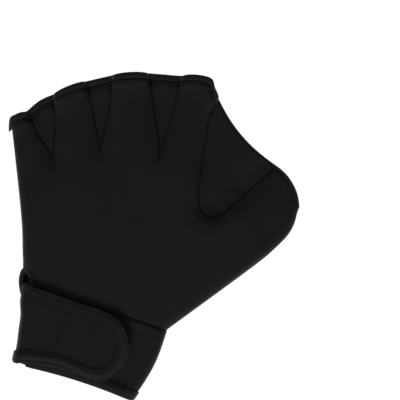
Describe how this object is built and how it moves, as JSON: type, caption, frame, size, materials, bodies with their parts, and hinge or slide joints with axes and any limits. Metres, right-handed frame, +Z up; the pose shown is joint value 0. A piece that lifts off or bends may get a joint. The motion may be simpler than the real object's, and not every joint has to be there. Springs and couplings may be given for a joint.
{
  "type": "webbed swim glove",
  "caption": "Fingertip-open webbed swim glove of black neoprene with bound edges and a wrist band that closes as a tongue over the front.",
  "frame": {"origin": "on the ground under the middle of the glove", "axes": "+Z up out of the back of the hand, +Y towards the fingers, +X towards the thumb"},
  "size_m": [0.1734, 0.1962, 0.0165],
  "materials": {
    "neoprene": "matte",
    "binding": "matte",
    "hook_tape": "matte"
  },
  "bodies": {
    "root": {"back_panel": "neoprene", "palm_panel": "neoprene", "wrist_band": "neoprene", "back_finger_binding": "binding", "palm_finger_binding": "binding", "wrist_hem_binding": "binding", "strap_binding": "binding", "slit_binding": "binding", "hook_patch": "hook_tape"}
  },
  "joints": []
}
